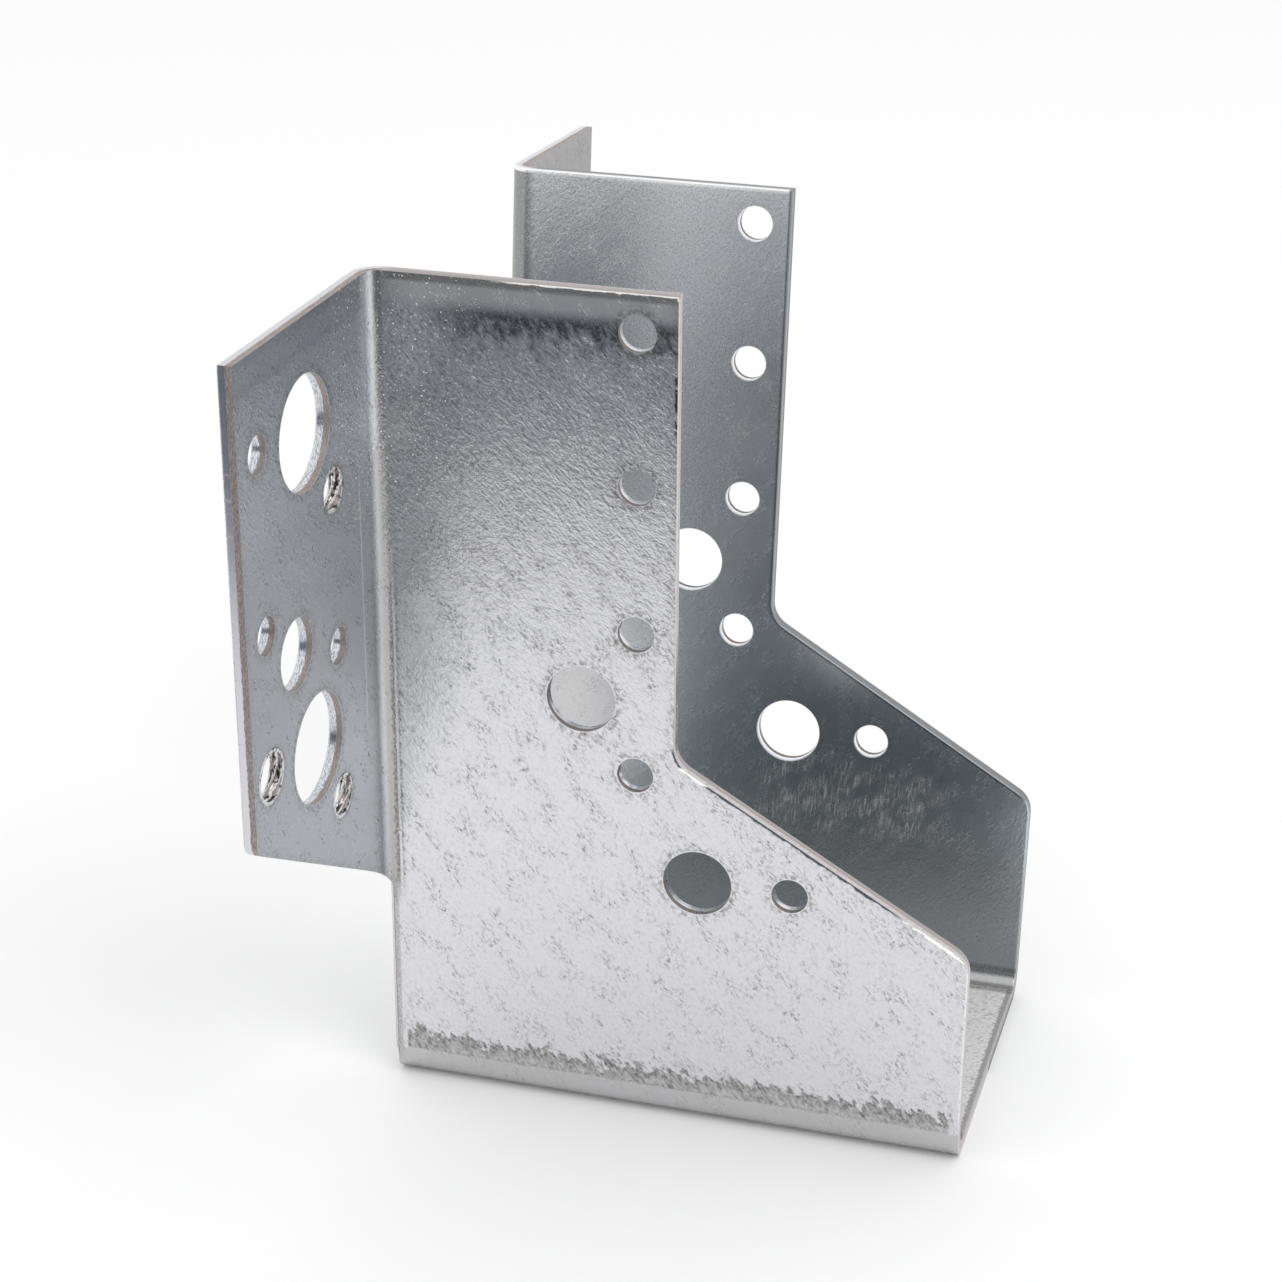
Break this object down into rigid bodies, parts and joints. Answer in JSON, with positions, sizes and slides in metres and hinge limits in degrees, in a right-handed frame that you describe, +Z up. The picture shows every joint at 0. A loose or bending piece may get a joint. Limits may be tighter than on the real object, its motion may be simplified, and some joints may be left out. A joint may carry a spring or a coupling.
{
  "type": "joist hanger",
  "caption": "Face-fixed joist hanger folded from galvanised sheet steel: an open-topped pocket for a joist end with flanges turned outwards and holes for nails and bolts.",
  "frame": {"origin": "centre of the seat's underside", "axes": "+Z up along the joist's depth, +Y towards the header beam, +X across the joist"},
  "size_m": [0.1438, 0.0851, 0.1197],
  "materials": {
    "galvanised_steel": "dull zinc coating, weathered grey"
  },
  "bodies": {
    "root": {"hanger": "galvanised_steel"}
  },
  "joints": []
}
